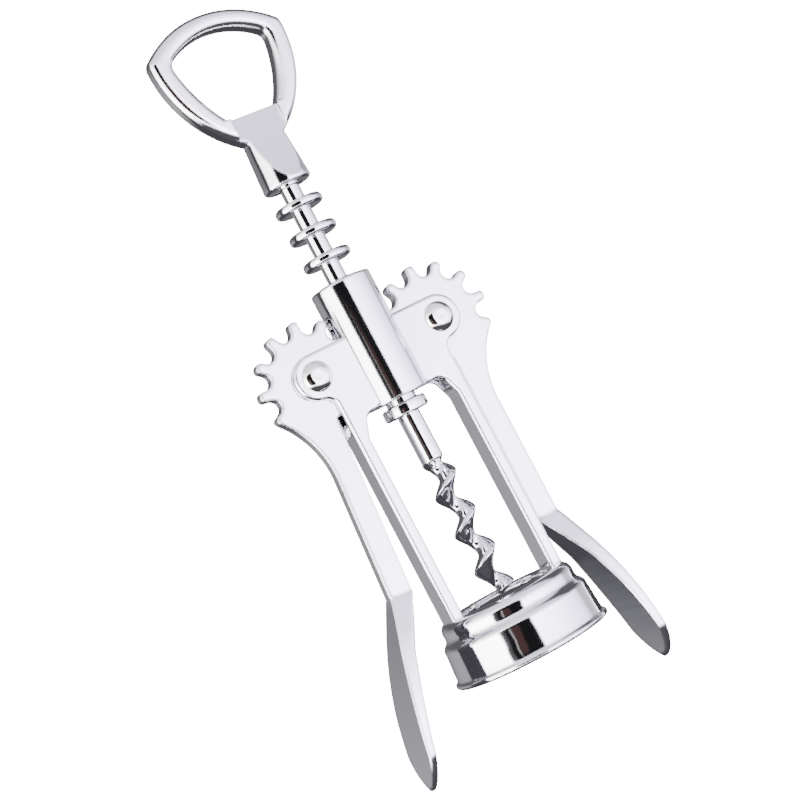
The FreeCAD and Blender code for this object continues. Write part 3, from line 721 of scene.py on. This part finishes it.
def studio_world(scene):
    """A bright studio, cool on the right and dark behind, with an opening behind the camera."""
    world = bpy.data.worlds.new("studio")
    scene.world = world
    world.use_nodes = True
    tree = world.node_tree
    tree.nodes.clear()
    link = tree.links.new
    where = add_node(tree, "ShaderNodeTexCoord")
    turn = add_node(tree, "ShaderNodeMapping")
    turn.inputs["Rotation"].default_value = (0, 0, -scene.corkscrew_stage.azimuth)
    link(where.outputs["Generated"], turn.inputs["Vector"])
    split = add_node(tree, "ShaderNodeSeparateXYZ")
    link(turn.outputs["Vector"], split.inputs["Vector"])
    share = world_angle(tree, split)
    ramp = add_node(tree, "ShaderNodeValToRGB")
    link(share, ramp.inputs["Fac"])
    ramp.color_ramp.elements.remove(ramp.color_ramp.elements[0])
    for index, (degrees, colour) in enumerate(WALLS):
        if index == 0:
            stop = ramp.color_ramp.elements[0]
            stop.position = share_at(degrees)
        else:
            stop = ramp.color_ramp.elements.new(share_at(degrees))
        stop.color = (*colour, 1)
    light = ramp.outputs["Color"]
    rise = split.outputs["Z"]
    # the walls grow dimmer upwards
    dim = add_node(
        tree, "ShaderNodeMapRange",
        From_Min=-0.12, From_Max=0.42, To_Min=1.35, To_Max=0.40,
    )
    link(rise, dim.inputs["Value"])
    fade = add_node(tree, "ShaderNodeVectorMath", operation="SCALE")
    link(light, fade.inputs["Vector"])
    link(dim.outputs["Result"], fade.inputs["Scale"])
    light = fade.outputs["Vector"]
    # a pale ceiling in front and a dark one behind, and dark ground under everything
    high = within(tree, rise, CEILING_LOW, BEYOND, CEILING_BLUR)
    light = laid_over(tree, high, light, CEILING)
    back = within(tree, split.outputs["Y"], BEHIND, BEYOND, CEILING_BLUR)
    high = within(tree, rise, BACK_CEILING_LOW, BEYOND, CEILING_BLUR)
    light = laid_over(tree, calc(tree, "MULTIPLY", high, back), light, BACK_CEILING)
    low = within(tree, rise, -BEYOND, GROUND_HIGH, GROUND_BLUR)
    light = laid_over(tree, low, light, GROUND)
    low = within(tree, rise, -BEYOND, BACK_GROUND_HIGH, GROUND_BLUR)
    light = laid_over(tree, calc(tree, "MULTIPLY", low, back), light, BACK_GROUND)
    for shape, colour in DARK_OPENING:
        light = laid_over(tree, rounded_patch(tree, share, rise, *shape), light, colour)
    seen = add_node(tree, "ShaderNodeLightPath")
    white = scene.corkscrew_stage.backdrop
    light = laid_over(tree, seen.outputs["Is Camera Ray"], light, (white, white, white))
    background = add_node(tree, "ShaderNodeBackground")
    link(light, background.inputs["Color"])
    output = add_node(tree, "ShaderNodeOutputWorld")
    link(background.outputs["Background"], output.inputs["Surface"])


def pale_floor(low, brightness):
    """A broad pale floor under the lever tips, not mirrored in the plating."""
    half = FLOOR_HALF
    mesh = bpy.data.meshes.new("studio_floor")
    mesh.from_pydata(
        [(-half, -half, low), (half, -half, low), (half, half, low), (-half, half, low)],
        [],
        [(0, 1, 2, 3)],
    )
    floor = new_object("studio_floor", mesh)
    material, _, shader = new_material("pale_floor")
    shader.inputs["Base Color"].default_value = (0.9, 0.9, 0.9, 1)
    shader.inputs["Roughness"].default_value = 0.9
    shader.inputs["Emission Color"].default_value = (1, 1, 1, 1)
    shader.inputs["Emission Strength"].default_value = brightness * FLOOR_SHARE
    mesh.materials.append(material)
    floor.visible_glossy = False
    floor.visible_diffuse = False


def add_camera(stage):
    """The camera, rolled about its line of sight."""
    data = bpy.data.cameras.new("view_camera")
    data.lens = stage.lens
    data.sensor_width = SENSOR
    camera = new_object("view_camera", data)
    place = Vector((
        math.sin(stage.azimuth) * stage.distance,
        -math.cos(stage.azimuth) * stage.distance,
        stage.height,
    ))
    level = Vector((math.cos(stage.azimuth), math.sin(stage.azimuth), 0))
    aim = Vector((0, 0, stage.aim_height)) - level * AIM_SHIFT
    back = (place - aim).normalized()
    right = Vector((0, 0, 1)).cross(back).normalized()
    up = back.cross(right)
    rolled_right = right * math.cos(stage.roll) - up * math.sin(stage.roll)
    rolled_up = up * math.cos(stage.roll) + right * math.sin(stage.roll)
    axes = Matrix((rolled_right, rolled_up, back)).transposed().to_4x4()
    camera.matrix_world = Matrix.Translation(place) @ axes
    bpy.context.scene.camera = camera


class CORKSCREW_OT_stage(bpy.types.Operator):
    """Set up the pale floor, the studio light and the camera"""

    bl_idname = "corkscrew.stage"
    bl_label = "Stage"

    def execute(self, context):
        stage = context.scene.corkscrew_stage
        pale_floor(CAD_BOX[0][2] - stage.floor_gap, stage.backdrop)
        studio_world(context.scene)
        add_camera(stage)
        return {"FINISHED"}


OPERATORS = (
    CORKSCREW_OT_castings,
    CORKSCREW_OT_rivets,
    CORKSCREW_OT_worm,
    CORKSCREW_OT_rack,
    CORKSCREW_OT_stage,
)


class CORKSCREW_PT_panel(bpy.types.Panel):
    """Buttons for each piece of the corkscrew"""

    bl_idname = "CORKSCREW_PT_panel"
    bl_label = "Lever corkscrew"
    bl_space_type = "VIEW_3D"
    bl_region_type = "UI"
    bl_category = "Corkscrew"

    def draw(self, context):
        for operator in OPERATORS:
            self.layout.operator(operator.bl_idname)


SETTINGS = {
    "corkscrew_finish": FinishSettings,
    "corkscrew_worm": WormSettings,
    "corkscrew_rack": RackSettings,
    "corkscrew_stage": StageSettings,
}
CLASSES = (*SETTINGS.values(), *OPERATORS, CORKSCREW_PT_panel)


def register():
    for item in CLASSES:
        bpy.utils.register_class(item)
    for name, group in SETTINGS.items():
        setattr(bpy.types.Scene, name, bpy.props.PointerProperty(type=group))


def unregister():
    for name in SETTINGS:
        delattr(bpy.types.Scene, name)
    for item in reversed(CLASSES):
        bpy.utils.unregister_class(item)


def main():
    register()
    bpy.ops.corkscrew.castings()
    bpy.ops.corkscrew.rivets()
    bpy.ops.corkscrew.worm()
    bpy.ops.corkscrew.rack()
    bpy.ops.corkscrew.stage()


if __name__ == "__main__":
    main()
